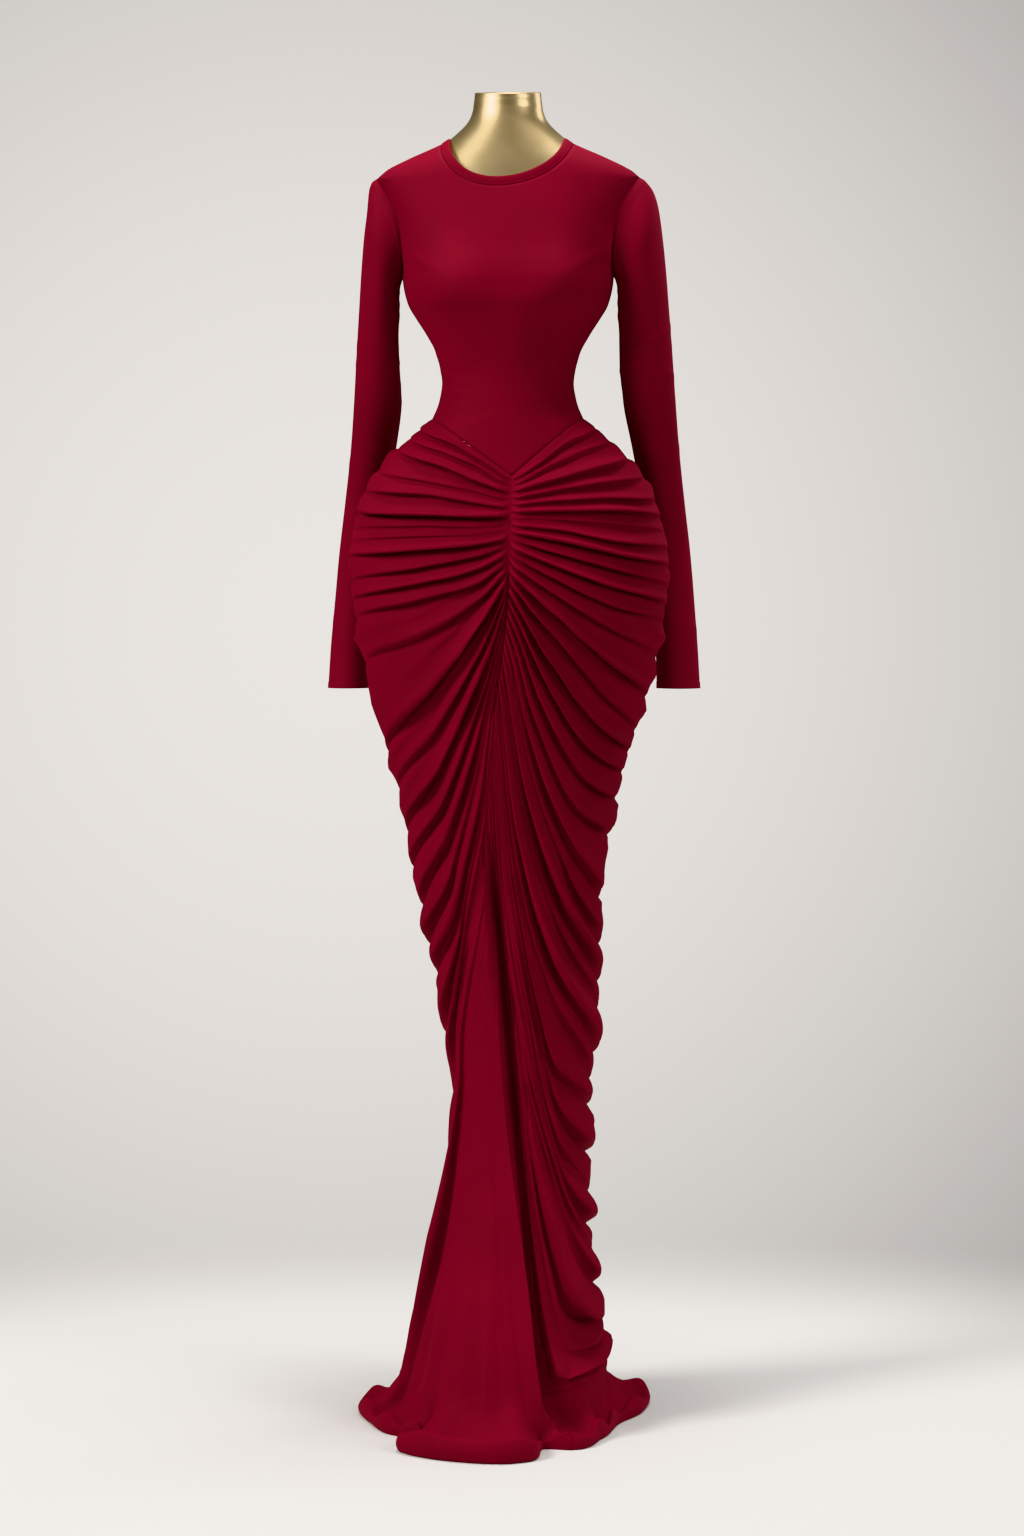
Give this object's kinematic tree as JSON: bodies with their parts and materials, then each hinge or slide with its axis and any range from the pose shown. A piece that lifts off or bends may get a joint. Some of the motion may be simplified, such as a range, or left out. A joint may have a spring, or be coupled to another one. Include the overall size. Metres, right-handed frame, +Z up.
{
  "type": "bodycon maxi dress on dress form",
  "caption": "Long-sleeved bodycon maxi dress with a gathered centre-front skirt and a floor-length hem, worn by a limbless form on a round base.",
  "frame": {"origin": "centre of the round base's underside, on the floor", "axes": "+Z up along the pole, -Y towards the front of the dress, +X towards the wearer's left"},
  "size_m": [0.478, 0.4521, 1.661],
  "materials": {
    "jersey": "matte crepe jersey",
    "form": "satin gold lacquer",
    "stand": "brushed"
  },
  "bodies": {
    "root": {"bodice_front": "jersey", "bodice_back": "jersey", "sleeve_left": "jersey", "sleeve_right": "jersey", "neckband": "jersey", "skirt_front_left": "jersey", "skirt_front_right": "jersey", "skirt_back_left": "jersey", "skirt_back_right": "jersey", "form_torso": "form", "form_pole": "stand", "form_base": "stand"}
  },
  "joints": []
}
